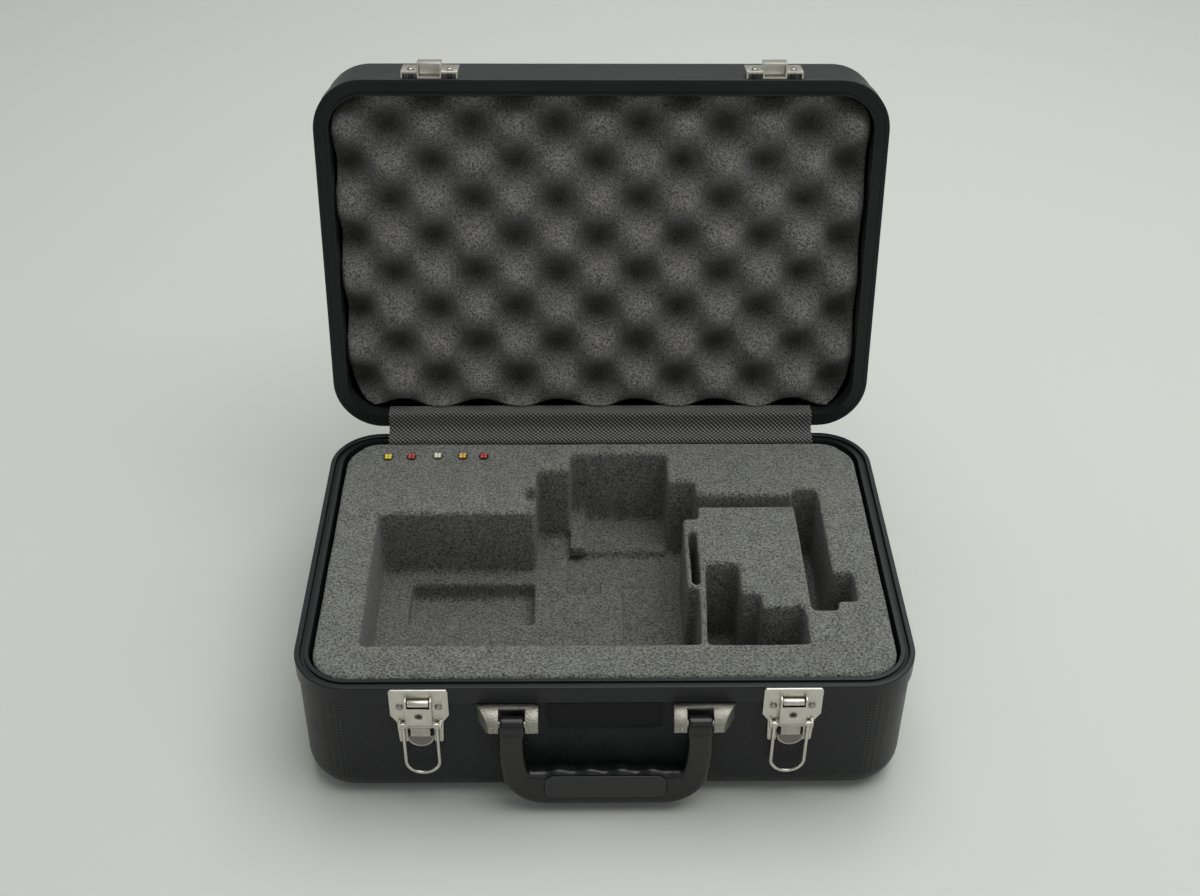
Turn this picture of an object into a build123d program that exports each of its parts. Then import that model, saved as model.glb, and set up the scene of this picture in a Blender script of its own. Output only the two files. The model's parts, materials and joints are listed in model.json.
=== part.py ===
"""Hard-shell instrument case with a fitted foam insert, an egg-crate lid pad, two draw latches and a handle.

Millimetres, +Z up. The origin is the centre of the base's underside, +X is to the right and +Y to the
back. The case stands on its base with its lid open, and the lid's parts are drawn as if it were closed,
on the LID plane, which carries them to the open pose.
"""
import os
from math import cos, radians, sin

from build123d import *

# Case
CASE_WIDTH = 420.0
CASE_LENGTH = 278.0
CORNER_RADIUS = 38.0
BASE_HEIGHT = 109.0
LID_DEPTH = 70.0
RIM_GAP = 0.4
WALL = 2.6
BASE_EDGE_RADIUS = 22.0
LID_EDGE_RADIUS = 20.0
OPEN_ANGLE = 100.0

# Rim extrusions, as distances in from the outer face and up or down from the rim plane
SKIRT = 1.5
SKIRT_HEIGHT = 14.0
WEB = 6.5
GROOVE_OUTER = 3.9
GROOVE_INNER = 6.8
GROOVE_DEPTH = 4.5
RIDGE_INNER = 9.5
RIDGE_DROP = 0.8
LID_BAND = 3.0
LID_BAND_STEP = 0.6
LID_TONGUE_OUTER = 9.9
LID_TONGUE_INNER = 11.4
LID_TONGUE_DROP = 1.6
FLANGE_DROP = 12.0
FLANGE = 1.2

# Hinge
HINGE_OFFSET = 3.5
HINGE_LENGTH = 290.0
KNUCKLES = 29
KNUCKLE_GAP = 0.3
BARREL_RADIUS = 2.8
HINGE_PIN_RADIUS = 1.2
RUNNING_GAP = 0.05
LEAF = 1.2
LEAF_HEIGHT = 17.0
HINGE_RIVETS = 7
STOP_X = 158.0
STOP_WIDTH = 14.0

# Foam, as levels below the rim plane
FOAM_INSET = 11.9
FOAM_TOP = 2.0
CHANNEL_LEVEL = 30.0
SHELF_LEVEL = 61.0
STEP_LEVEL = 70.0
FLOOR_LEVEL = 76.0
FOAM_CORNER = 2.5
FOAM_PAD_EDGE = 15.0
LID_FOAM_INSET = 14.0
LID_FOAM_DROP = 2.0
MARKER_RADIUS = 3.7
BEAD_RADIUS = 1.7
BEAD_OFFSET = 1.9
BEAD_TURN = 45.0

# Latches
LATCH_X = 124.0
PLATE = 1.5
LATCH_WIDTH = 39.0
LATCH_DROP = 49.5
RIVET_X = 12.9
RIVET_DROP = 16.2
RIVET_SHANK = 1.5
RIVET_HEAD = 2.4
COVER_WIDTH = 18.0
COVER_TOP = 12.5
COVER_BOTTOM = 28.2
COVER_FRONT = 7.4
LOCK_DROP = 19.4
LOCK_RADIUS = 2.5
CHEEK_TOP = 5.0
CLAW_WIDTH = 14.0
CLAW_ROLL = 2.5
CLAW_ROLL_DROP = 9.5
CLAW_TAIL_DROP = 25.6
LEVER_DROP = 30.6
LEVER_OUT = 4.4
LEVER_HUB = 2.0
LEVER_PIN_RADIUS = 1.2
LEVER_NECK = 13.0
LEVER_ROUND = 8.8
LEVER_ROUND_DROP = 41.4
LEVER_SHOULDER_DROP = 41.0
EAR_X = 13.7
EAR_THICKNESS = 1.5
BAIL_HALF = 11.3
BAIL_WIRE = 1.3
BAIL_DROP = 65.6

# Handle
PIVOT_X = 62.5
PIVOT_DROP = 25.2
PIVOT_OUT = 8.6
BRACKET_TOP = 15.6
BRACKET_BOTTOM = 30.5
BRACKET_NOSE = 14.0
ROOF = 2.6
ROOF_DEPTH = 3.4
SLOT = 17.8
LEG_WIDTH = 17.0
HANDLE_HALF = 6.6
HANDLE_PIN_RADIUS = 2.5
HANDLE_ROUND = 4.6
GRIP_TOP = 39.6
GRIP_BOTTOM = 8.4
GRIP_PAD_WIDTH = 84.0
GRIP_PAD_HEIGHT = 21.8
GRIP_PAD_DROP = 80.9
LOOP_OUTER_CORNER = 31.0
LOOP_INNER_CORNER = 18.0

# Name plate
NAME_PLATE_WIDTH = 77.0
NAME_PLATE_TOP = 14.6
NAME_PLATE_BOTTOM = 38.8

# Places worked out from the sizes above
FRONT_Y = -CASE_LENGTH / 2
REAR_Y = CASE_LENGTH / 2
SHELL_FRONT_Y = FRONT_Y + SKIRT
SHELL_REAR_Y = REAR_Y - SKIRT
LID_RIM = BASE_HEIGHT + RIM_GAP
HINGE_Y = REAR_Y + HINGE_OFFSET
HINGE_Z = BASE_HEIGHT + RIM_GAP / 2
LEVER_Y = FRONT_Y - LEVER_OUT
LEVER_Z = BASE_HEIGHT - LEVER_DROP
PIVOT_Y = FRONT_Y - PIVOT_OUT
PIVOT_Z = BASE_HEIGHT - PIVOT_DROP
TURN = radians(OPEN_ANGLE)
LID = Plane(
    origin=(
        0,
        HINGE_Y * (1 - cos(TURN)) - HINGE_Z * sin(TURN),
        HINGE_Z * (1 - cos(TURN)) + HINGE_Y * sin(TURN),
    ),
    x_dir=(1, 0, 0),
    z_dir=(0, sin(TURN), cos(TURN)),
)
FRONT = Plane.XZ
BACK = Plane(origin=(0, 0, 0), x_dir=(-1, 0, 0), z_dir=(0, 1, 0))
SIDES = (("left", -1), ("right", 1))

os.makedirs("parts", exist_ok=True)


def save(builder, name):
    builder.part.label = name
    export_step(builder.part, "parts/" + name + ".step")


def lid_plane(normal, x_dir, origin):
    """A plane given in the closed lid's own directions, carried to the open lid."""
    placed = Plane(origin=origin, x_dir=x_dir, z_dir=normal)
    return Plane(LID.location * placed.location)


LID_FRONT = lid_plane((0, -1, 0), (1, 0, 0), (0, 0, 0))
LID_SIDE = lid_plane((1, 0, 0), (0, 1, 0), (0, 0, 0))
LID_BACK = lid_plane((0, 1, 0), (-1, 0, 0), (0, 0, 0))
LID_AXIS = Axis(LID.origin, LID.z_dir)


def case_outline(inset, mode=Mode.ADD):
    RectangleRounded(CASE_WIDTH - 2 * inset, CASE_LENGTH - 2 * inset, CORNER_RADIUS - inset, mode=mode)


def ring(plane, outer, inner, low, high, mode=Mode.ADD):
    """A band that follows the case's outline between two insets and two heights."""
    with BuildSketch(plane.offset(low)) as band:
        case_outline(outer)
        case_outline(inner, Mode.SUBTRACT)
    extrude(band.sketch, amount=high - low, mode=mode)


def slab(plane, inset, low, high, mode=Mode.ADD):
    with BuildSketch(plane.offset(low)) as sheet:
        case_outline(inset)
    extrude(sheet.sketch, amount=high - low, mode=mode)


def block(plane, x_range, y_range, low, high, mode=Mode.ADD):
    """A box on a plane, from its ranges along the plane's own X and Y."""
    width = x_range[1] - x_range[0]
    height = y_range[1] - y_range[0]
    with BuildSketch(plane.offset(low)) as face:
        with Locations((sum(x_range) / 2, sum(y_range) / 2)):
            Rectangle(width, height)
    extrude(face.sketch, amount=high - low, mode=mode)


def prism(plane, points, low, high, radius=0.0, mode=Mode.ADD):
    """A straight-sided outline on a plane, with its corners rounded."""
    with BuildSketch(plane.offset(low)) as face:
        Polygon(*points, align=None)
        if radius:
            fillet(face.vertices(), radius)
    extrude(face.sketch, amount=high - low, mode=mode)


def rods(plane, places, radius, low, high, mode=Mode.ADD):
    with BuildSketch(plane.offset(low)) as discs:
        with Locations(*places):
            Circle(radius)
    extrude(discs.sketch, amount=high - low, mode=mode)


def rivets(plane, places, surface, tail, mode=Mode.ADD):
    """Domed rivets: heads on a surface and shanks back to their tails."""
    rods(plane, places, RIVET_SHANK, tail, surface)
    rods(plane, places, RIVET_HEAD, surface, surface + 0.5)
    with BuildSketch(plane.offset(surface + 0.5)) as crowns:
        with Locations(*places):
            Circle(RIVET_HEAD)
    extrude(crowns.sketch, amount=0.6, taper=50, mode=mode)


# Where the fasteners go through the walls, as X and Z on the front face
latch_holes = []
bracket_holes = []
for _, side in SIDES:
    for step in (-1, 1):
        latch_holes.append((side * LATCH_X + step * RIVET_X, BASE_HEIGHT - RIVET_DROP))
    for screw_step in (-13.0, 20.0):
        bracket_holes.append((side * (PIVOT_X + screw_step), BASE_HEIGHT - 23.0))
keeper_holes = []
for _, side in SIDES:
    for step in (-1, 1):
        keeper_holes.append((side * LATCH_X + step * 14.0, LID_RIM + 9.0))
hinge_xs = []
for index in range(HINGE_RIVETS):
    hinge_xs.append((index / (HINGE_RIVETS - 1) - 0.5) * (HINGE_LENGTH - 30))
stop_holes = [(-STOP_X, BASE_HEIGHT - 19.0), (STOP_X, BASE_HEIGHT - 19.0)]
base_leaf_holes = [(x, BASE_HEIGHT - 11.0) for x in hinge_xs]
lid_leaf_holes = [(x, LID_RIM + 11.0) for x in hinge_xs]

# Base shell: moulded tray with round lower edges
with BuildPart() as base_shell:
    slab(Plane.XY, SKIRT, 0, BASE_HEIGHT - WEB)
    fillet(base_shell.faces().sort_by(Axis.Z)[0].edges(), BASE_EDGE_RADIUS)
    offset(amount=-WALL, openings=base_shell.faces().sort_by(Axis.Z)[-1])
    rods(FRONT, latch_holes + bracket_holes, RIVET_SHANK, 130, 140, Mode.SUBTRACT)
    rods(FRONT, base_leaf_holes + stop_holes, RIVET_SHANK, -140, -130, Mode.SUBTRACT)
save(base_shell, "base_shell")

# Base valance: grooved aluminium section that caps the tray
with BuildPart() as base_valance:
    ring(Plane.XY, 0, SKIRT, BASE_HEIGHT - SKIRT_HEIGHT, BASE_HEIGHT - WEB)
    ring(Plane.XY, 0, RIDGE_INNER, BASE_HEIGHT - WEB, BASE_HEIGHT)
    ring(Plane.XY, GROOVE_OUTER, GROOVE_INNER, BASE_HEIGHT - GROOVE_DEPTH, BASE_HEIGHT, Mode.SUBTRACT)
    ring(Plane.XY, GROOVE_INNER, RIDGE_INNER, BASE_HEIGHT - RIDGE_DROP, BASE_HEIGHT, Mode.SUBTRACT)
    ring(Plane.XY, RIDGE_INNER - FLANGE, RIDGE_INNER, BASE_HEIGHT - FLANGE_DROP, BASE_HEIGHT - WEB)
    fillet(base_valance.faces().sort_by(Axis.Z)[-1].edges(), 0.8)
    rods(FRONT, latch_holes, RIVET_SHANK, 130, 140, Mode.SUBTRACT)
    rods(FRONT, base_leaf_holes, RIVET_SHANK, -140, -130, Mode.SUBTRACT)
save(base_valance, "base_valance")

# Rim gasket: rubber cord laid in the valance's groove
with BuildPart() as rim_gasket:
    ring(
        Plane.XY,
        GROOVE_OUTER + 0.2,
        GROOVE_INNER - 0.2,
        BASE_HEIGHT - GROOVE_DEPTH,
        BASE_HEIGHT - GROOVE_DEPTH + 2.2,
    )
save(rim_gasket, "rim_gasket")

# Foam insert: five bonded sheets, each with its own cut-outs, so that the pockets have several depths
tool_bay = [
    (-167.5, -96.5), (66, -96.5), (67.5, -39), (59.5, -39), (60, 36), (72, 36), (72, 80.5),
    (51.2, 80.5), (51.2, 114.8), (-24.3, 114.8), (-24.3, 93.8), (-50.5, 93.8), (-50.5, 42.5), (-167.5, 42.5),
]
cord_slot = [
    (145, -63), (164.5, -63), (164.5, -54), (179, -54), (179, -24.6), (164.5, -24.6), (164.5, 70.5), (145, 70.5),
]
stair_pocket = [
    (69.8, -96.5), (140.5, -96.5), (140.5, -59.8), (111, -59.8), (111, -46.3), (97.7, -46.3),
    (97.7, -14.5), (73.8, -14.5),
]
step_bay = [
    (15.2, -96.5), (66, -96.5), (67.5, -39), (59.5, -39), (60, 36), (72, 36), (72, 80.5),
    (51.2, 80.5), (51.2, 114.8), (-12.5, 114.8), (-12.5, 70), (-24.3, 70), (-24.3, 93.8), (-50.5, 93.8),
    (-50.5, 43.5), (-26.8, 43.5), (-26.8, 17), (-1.5, 17), (-1.5, 32.5), (15.2, 32.5),
]
floor_bay = [
    (-26.8, 17), (-1.5, 17), (-1.5, 32.5), (72, 32.5), (72, 80.5), (51.2, 80.5), (51.2, 75), (-26.8, 75),
]
bay_recess = [(-145, -16), (-51, -16), (-51, 28), (-145, 28)]
finger_slot = [(63, -36), (69.3, -36), (69.3, 22), (63, 22)]
link_channel = [(70, 50), (147, 50), (147, 63.5), (70, 63.5)]
marker_places = [(-166.5, 111), (-148.5, 111.3), (-128, 112.3), (-108.5, 112), (-92, 111.8)]


def foam_sheet(top, bottom, cuts):
    slab(Plane.XY, FOAM_INSET, BASE_HEIGHT - bottom, BASE_HEIGHT - top)
    for outline in cuts:
        prism(Plane.XY, outline, BASE_HEIGHT - bottom, BASE_HEIGHT - top, FOAM_CORNER, Mode.SUBTRACT)


with BuildPart() as foam_top_sheet:
    foam_sheet(FOAM_TOP, CHANNEL_LEVEL, [tool_bay, cord_slot, stair_pocket, finger_slot, link_channel])
    block(Plane.XY, (-58, -48), (57.5, 73.2), BASE_HEIGHT - 14, BASE_HEIGHT, Mode.SUBTRACT)
    rods(Plane.XY, marker_places, MARKER_RADIUS, BASE_HEIGHT - 6, BASE_HEIGHT, Mode.SUBTRACT)
save(foam_top_sheet, "foam_top_sheet")

with BuildPart() as foam_body_sheet:
    foam_sheet(CHANNEL_LEVEL, SHELF_LEVEL, [tool_bay, cord_slot, stair_pocket, finger_slot])
save(foam_body_sheet, "foam_body_sheet")

with BuildPart() as foam_shelf_sheet:
    foam_sheet(SHELF_LEVEL, STEP_LEVEL, [step_bay, bay_recess, stair_pocket])
    block(Plane.XY, (145, 164.5), (-63, 70.5), BASE_HEIGHT - STEP_LEVEL, BASE_HEIGHT, Mode.SUBTRACT)
save(foam_shelf_sheet, "foam_shelf_sheet")

with BuildPart() as foam_step_sheet:
    foam_sheet(STEP_LEVEL, FLOOR_LEVEL, [floor_bay, bay_recess, stair_pocket])
save(foam_step_sheet, "foam_step_sheet")

with BuildPart() as foam_floor_pad:
    slab(Plane.XY, FOAM_INSET, WALL + 0.4, BASE_HEIGHT - FLOOR_LEVEL)
    fillet(foam_floor_pad.faces().sort_by(Axis.Z)[0].edges(), FOAM_PAD_EDGE)
save(foam_floor_pad, "foam_floor_pad")

# Markers: four beads on a peg, pushed into the foam
marker_names = ("yellow", "red_left", "clear", "amber", "red_right")
for name, place in zip(marker_names, marker_places):
    with BuildPart() as marker:
        rods(Plane.XY, [place], MARKER_RADIUS, BASE_HEIGHT - 6, BASE_HEIGHT - FOAM_TOP)
        for turn in range(4):
            bearing = radians(BEAD_TURN + 90 * turn)
            bead_x = place[0] + BEAD_OFFSET * cos(bearing)
            bead_y = place[1] + BEAD_OFFSET * sin(bearing)
            with Locations((bead_x, bead_y, BASE_HEIGHT - FOAM_TOP)):
                Sphere(BEAD_RADIUS)
    save(marker, "marker_" + name)

# Name plate: blank plate with a raised border
plate_span = (-NAME_PLATE_WIDTH / 2, NAME_PLATE_WIDTH / 2)
plate_rise = (BASE_HEIGHT - NAME_PLATE_BOTTOM, BASE_HEIGHT - NAME_PLATE_TOP)
with BuildPart() as name_plate:
    block(FRONT, plate_span, plate_rise, -SHELL_FRONT_Y, -SHELL_FRONT_Y + 1.4)
    block(
        FRONT,
        (plate_span[0] + 2, plate_span[1] - 2),
        (plate_rise[0] + 2, plate_rise[1] - 2),
        -SHELL_FRONT_Y + 0.8,
        -SHELL_FRONT_Y + 2,
        Mode.SUBTRACT,
    )
    fillet(name_plate.edges().filter_by(Axis.Y).group_by(SortBy.LENGTH)[-1], 1.0)
save(name_plate, "name_plate")

# Handle brackets, pins, screws and the backing strip inside the front wall
bracket_plan = [(45, -137.6), (86, -137.6), (86, -139.4), (78, -153), (45, -153)]
arm_bore = (49.0, 75.5)
for name, side in SIDES:
    with BuildPart() as bracket:
        plan = [(side * x, y) for x, y in bracket_plan]
        prism(Plane.XY, plan, BASE_HEIGHT - BRACKET_BOTTOM, BASE_HEIGHT - BRACKET_TOP)
        with BuildSketch(Plane.YZ.offset(-100)) as profile:
            with BuildLine():
                wall_top = (-137.0, BASE_HEIGHT - BRACKET_TOP)
                brow = (FRONT_Y - 2, BASE_HEIGHT - BRACKET_TOP)
                nose = (FRONT_Y - BRACKET_NOSE, BASE_HEIGHT - BRACKET_TOP - 7)
                chin = (FRONT_Y - BRACKET_NOSE, BASE_HEIGHT - BRACKET_BOTTOM + 2)
                heel = (FRONT_Y - BRACKET_NOSE + 3, BASE_HEIGHT - BRACKET_BOTTOM)
                wall_low = (-137.0, BASE_HEIGHT - BRACKET_BOTTOM)
                Line(wall_top, brow)
                ThreePointArc(brow, (FRONT_Y - 10, BASE_HEIGHT - BRACKET_TOP - 2.4), nose)
                Polyline(nose, chin, heel, wall_low, wall_top)
            make_face()
        extrude(profile.sketch, amount=200, mode=Mode.INTERSECT)
        slot_span = (side * PIVOT_X - SLOT / 2, side * PIVOT_X + SLOT / 2)
        block(
            FRONT,
            slot_span,
            (BASE_HEIGHT - BRACKET_BOTTOM - 1, BASE_HEIGHT - BRACKET_TOP - ROOF),
            -PIVOT_Y - HANDLE_HALF - 0.4,
            160,
            Mode.SUBTRACT,
        )
        roof = (BASE_HEIGHT - BRACKET_TOP - ROOF - 1, BASE_HEIGHT - BRACKET_TOP + 1)
        block(FRONT, slot_span, roof, -FRONT_Y + ROOF_DEPTH, 160, Mode.SUBTRACT)
        bore_low = min(side * arm_bore[0], side * arm_bore[1])
        bore_high = max(side * arm_bore[0], side * arm_bore[1])
        rods(Plane.YZ, [(PIVOT_Y, PIVOT_Z)], HANDLE_PIN_RADIUS, bore_low, bore_high, Mode.SUBTRACT)
        side_holes = [hole for hole in bracket_holes if hole[0] * side > 0]
        rods(FRONT, side_holes, RIVET_SHANK, 137, 140, Mode.SUBTRACT)
    save(bracket, "handle_bracket_" + name)
    with BuildPart() as handle_pin:
        rods(Plane.YZ, [(PIVOT_Y, PIVOT_Z)], HANDLE_PIN_RADIUS, bore_low, bore_high)
    save(handle_pin, "handle_pin_" + name)

inner_face = -(SHELL_FRONT_Y + WALL)
with BuildPart() as handle_backing_strip:
    block(FRONT, (-96, 96), (BASE_HEIGHT - 32, BASE_HEIGHT - 15), inner_face - 1.5, inner_face)
    rods(FRONT, bracket_holes, RIVET_SHANK, inner_face - 2, inner_face, Mode.SUBTRACT)
save(handle_backing_strip, "handle_backing_strip")

with BuildPart() as handle_screws:
    rods(FRONT, bracket_holes, RIVET_SHANK, inner_face - 1.5, 140)
    rods(FRONT, bracket_holes, 3.0, inner_face - 3.5, inner_face - 1.5)
save(handle_screws, "handle_screws")

# Handle: one moulded loop with finger waves and a grip pad let into its front
leg_inner = PIVOT_X - LEG_WIDTH / 2
leg_outer = PIVOT_X + LEG_WIDTH / 2
shoulder_z = BASE_HEIGHT - 31.0
loop_outline = [
    (-leg_outer, shoulder_z), (-leg_inner, shoulder_z), (-leg_inner + 2, GRIP_TOP), (leg_inner - 2, GRIP_TOP),
    (leg_inner, shoulder_z), (leg_outer, shoulder_z), (leg_outer - 1.5, GRIP_BOTTOM), (1.5 - leg_outer, GRIP_BOTTOM),
]
with BuildPart() as handle_loop:
    with BuildSketch(FRONT.offset(-PIVOT_Y - HANDLE_HALF)) as loop:
        Polygon(*loop_outline, align=None)
        fillet(loop.vertices().group_by(Axis.Y)[0], LOOP_OUTER_CORNER)
        fillet(loop.vertices().filter_by(lambda v: abs(v.Z - GRIP_TOP) < 0.1), LOOP_INNER_CORNER)
    extrude(loop.sketch, amount=2 * HANDLE_HALF)
    rounded = handle_loop.edges().filter_by(lambda e: abs(e.center().Z - shoulder_z) > 0.5)
    rounded = rounded.filter_by(lambda e: abs((e @ 0).Y - (e @ 1).Y) < 0.5)
    fillet(rounded, HANDLE_ROUND)
    tang = (BASE_HEIGHT - 33.0, PIVOT_Z)
    for _, side in SIDES:
        tang_span = (side * PIVOT_X - 8.2, side * PIVOT_X + 8.2)
        block(FRONT, tang_span, tang, -PIVOT_Y - 5.8, -PIVOT_Y + 5.8)
        rods(Plane.YZ, [(PIVOT_Y, PIVOT_Z)], 5.8, *tang_span)
    for _, side in SIDES:
        bore_span = (side * PIVOT_X - 12, side * PIVOT_X + 12)
        rods(Plane.YZ, [(PIVOT_Y, PIVOT_Z)], HANDLE_PIN_RADIUS + RUNNING_GAP, *bore_span, Mode.SUBTRACT)
    with BuildSketch(FRONT.offset(-PIVOT_Y + HANDLE_HALF - 1.5)) as pad_seat:
        with Locations((0, BASE_HEIGHT - GRIP_PAD_DROP)):
            RectangleRounded(GRIP_PAD_WIDTH, GRIP_PAD_HEIGHT, 6)
    extrude(pad_seat.sketch, amount=5, mode=Mode.SUBTRACT)
save(handle_loop, "handle_loop")

with BuildPart() as handle_grip_pad:
    with BuildSketch(FRONT.offset(-PIVOT_Y + HANDLE_HALF - 1.5)) as pad_face:
        with Locations((0, BASE_HEIGHT - GRIP_PAD_DROP)):
            RectangleRounded(GRIP_PAD_WIDTH - 0.8, GRIP_PAD_HEIGHT - 0.8, 5.6)
    extrude(pad_face.sketch, amount=1.9)
    fillet(handle_grip_pad.faces().sort_by(Axis.Y)[0].edges(), 0.8)
save(handle_grip_pad, "handle_grip_pad")

# Draw latches: a plate with ears, a cover over the claw, the lever, its pin and the bail
plate_half = LATCH_WIDTH / 2
plate_outline = [
    (-plate_half, -0.6), (plate_half, -0.6), (plate_half, -24), (15.5, -30), (14.6, -LATCH_DROP), (8.8, -LATCH_DROP),
    (8.8, -36), (-8.8, -36), (-8.8, -LATCH_DROP), (-14.6, -LATCH_DROP), (-15.5, -30), (-plate_half, -24),
]
plate_back = -FRONT_Y + 0.1
plate_front = plate_back + PLATE
cover_front = -FRONT_Y + COVER_FRONT
PIN_HALF = EAR_X + EAR_THICKNESS / 2
for name, side in SIDES:
    centre = side * LATCH_X
    outline = [(centre + x, BASE_HEIGHT + z) for x, z in plate_outline]
    side_rivets = [hole for hole in latch_holes if hole[0] * side > 0]
    with BuildPart() as latch_plate:
        prism(FRONT, outline, -SHELL_FRONT_Y + 0.1, plate_front, 1.6)
        block(
            FRONT,
            (centre - 30, centre + 30),
            (BASE_HEIGHT - SKIRT_HEIGHT - 0.3, BASE_HEIGHT + 1),
            130,
            plate_back,
            Mode.SUBTRACT,
        )
        for ear in (-EAR_X, EAR_X):
            ear_span = (centre + ear - EAR_THICKNESS / 2, centre + ear + EAR_THICKNESS / 2)
            block(FRONT, ear_span, (LEVER_Z - 2.2, LEVER_Z + 2.2), plate_front, plate_front + 4.6)
        rods(Plane.YZ, [(LEVER_Y, LEVER_Z)], LEVER_PIN_RADIUS, centre - 16, centre + 16, Mode.SUBTRACT)
        rods(FRONT, side_rivets, RIVET_SHANK, 130, 145, Mode.SUBTRACT)
    save(latch_plate, "latch_plate_" + name)

    with BuildPart() as latch_cover:
        cover_span = (centre - COVER_WIDTH / 2, centre + COVER_WIDTH / 2)
        inner_span = (cover_span[0] + 1.4, cover_span[1] - 1.4)
        cover_rise = (BASE_HEIGHT - COVER_BOTTOM, BASE_HEIGHT - CHEEK_TOP)
        block(FRONT, cover_span, cover_rise, plate_front, cover_front)
        block(
            FRONT, inner_span, (cover_rise[0] + 1.2, BASE_HEIGHT), plate_front, cover_front - 1.2, Mode.SUBTRACT
        )
        block(FRONT, inner_span, (BASE_HEIGHT - COVER_TOP, BASE_HEIGHT), plate_front, 160, Mode.SUBTRACT)
        rods(FRONT, [(centre, BASE_HEIGHT - LOCK_DROP)], LOCK_RADIUS + 0.1, cover_front - 1.2, 160, Mode.SUBTRACT)
    save(latch_cover, "latch_cover_" + name)

    with BuildPart() as lock_barrel:
        rods(FRONT, [(centre, BASE_HEIGHT - LOCK_DROP)], LOCK_RADIUS, cover_front - 2.0, cover_front - 0.3)
        rods(FRONT, [(centre, BASE_HEIGHT - LOCK_DROP)], 0.9, cover_front - 1.3, cover_front, Mode.SUBTRACT)
    save(lock_barrel, "lock_barrel_" + name)

    with BuildPart() as latch_claw:
        claw_span = (centre - CLAW_WIDTH / 2, centre + CLAW_WIDTH / 2)
        roll_y = FRONT_Y - 4.5
        block(FRONT, claw_span, (BASE_HEIGHT - CLAW_TAIL_DROP, BASE_HEIGHT - CLAW_ROLL_DROP), 141.9, 143.2)
        rods(Plane.YZ, [(roll_y, BASE_HEIGHT - CLAW_ROLL_DROP)], CLAW_ROLL, *claw_span)
        rods(Plane.YZ, [(roll_y, BASE_HEIGHT - CLAW_ROLL_DROP)], CLAW_ROLL - 1.2, *claw_span, Mode.SUBTRACT)
    save(latch_claw, "latch_claw_" + name)

    with BuildPart() as latch_lever:
        hub_span = (centre - 8, centre + 8)
        rods(Plane.YZ, [(LEVER_Y, LEVER_Z)], LEVER_HUB, *hub_span)
        with BuildSketch(FRONT.offset(-LEVER_Y - 1.0)) as tab:
            with Locations((centre, (LEVER_Z + BASE_HEIGHT - LEVER_ROUND_DROP) / 2)):
                Rectangle(LEVER_NECK, LEVER_ROUND_DROP - LEVER_DROP)
            with Locations((centre, BASE_HEIGHT - LEVER_ROUND_DROP)):
                Circle(LEVER_ROUND)
            with Locations((centre, BASE_HEIGHT - LEVER_SHOULDER_DROP + 5)):
                Rectangle(30, 10, mode=Mode.SUBTRACT)
            with Locations((centre, BASE_HEIGHT - (LEVER_DROP + LEVER_SHOULDER_DROP) / 2)):
                Rectangle(LEVER_NECK, LEVER_SHOULDER_DROP - LEVER_DROP + 1)
        extrude(tab.sketch, amount=1.5)
        rods(Plane.YZ, [(LEVER_Y, LEVER_Z)], LEVER_PIN_RADIUS + RUNNING_GAP, *hub_span, Mode.SUBTRACT)
    save(latch_lever, "latch_lever_" + name)

    with BuildPart() as lever_pin:
        rods(Plane.YZ, [(LEVER_Y, LEVER_Z)], LEVER_PIN_RADIUS, centre - PIN_HALF, centre + PIN_HALF)
    save(lever_pin, "lever_pin_" + name)

    with BuildPart() as latch_bail:
        with BuildLine() as wire:
            left_eye = (centre - BAIL_HALF, LEVER_Y, LEVER_Z - 1.9)
            left_knee = (centre - BAIL_HALF, LEVER_Y, BASE_HEIGHT - BAIL_DROP)
            bottom = (centre, LEVER_Y, BASE_HEIGHT - BAIL_DROP - BAIL_HALF)
            right_knee = (centre + BAIL_HALF, LEVER_Y, BASE_HEIGHT - BAIL_DROP)
            right_eye = (centre + BAIL_HALF, LEVER_Y, LEVER_Z - 1.9)
            Line(left_eye, left_knee)
            ThreePointArc(left_knee, bottom, right_knee)
            Line(right_knee, right_eye)
        with BuildSketch(Plane(origin=left_eye, z_dir=(0, 0, -1))) as section:
            Circle(BAIL_WIRE)
        sweep(section.sketch, path=wire.line)
        for eye in (-BAIL_HALF, BAIL_HALF):
            eye_span = (centre + eye - 1.2, centre + eye + 1.2)
            rods(Plane.YZ, [(LEVER_Y, LEVER_Z)], 2.4, *eye_span)
        for eye in (-BAIL_HALF, BAIL_HALF):
            eye_span = (centre + eye - 2, centre + eye + 2)
            rods(Plane.YZ, [(LEVER_Y, LEVER_Z)], LEVER_PIN_RADIUS + RUNNING_GAP, *eye_span, Mode.SUBTRACT)
    save(latch_bail, "latch_bail_" + name)

with BuildPart() as latch_rivets:
    rivets(FRONT, latch_holes, plate_front, inner_face - 1)
save(latch_rivets, "latch_rivets")

# Piano hinge: two leaves with alternate knuckles round one pin, and two stops for the open lid
knuckle_pitch = HINGE_LENGTH / KNUCKLES
base_knuckles = []
lid_knuckles = []
for index in range(KNUCKLES):
    start = -HINGE_LENGTH / 2 + index * knuckle_pitch
    span = (start + KNUCKLE_GAP / 2, start + knuckle_pitch - KNUCKLE_GAP / 2)
    (lid_knuckles if index % 2 else base_knuckles).append(span)
leaf_span = (-HINGE_LENGTH / 2, HINGE_LENGTH / 2)
leaf_back = (-HINGE_Y + HINGE_OFFSET - 0.05 - LEAF, -HINGE_Y + HINGE_OFFSET - 0.05)

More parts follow.
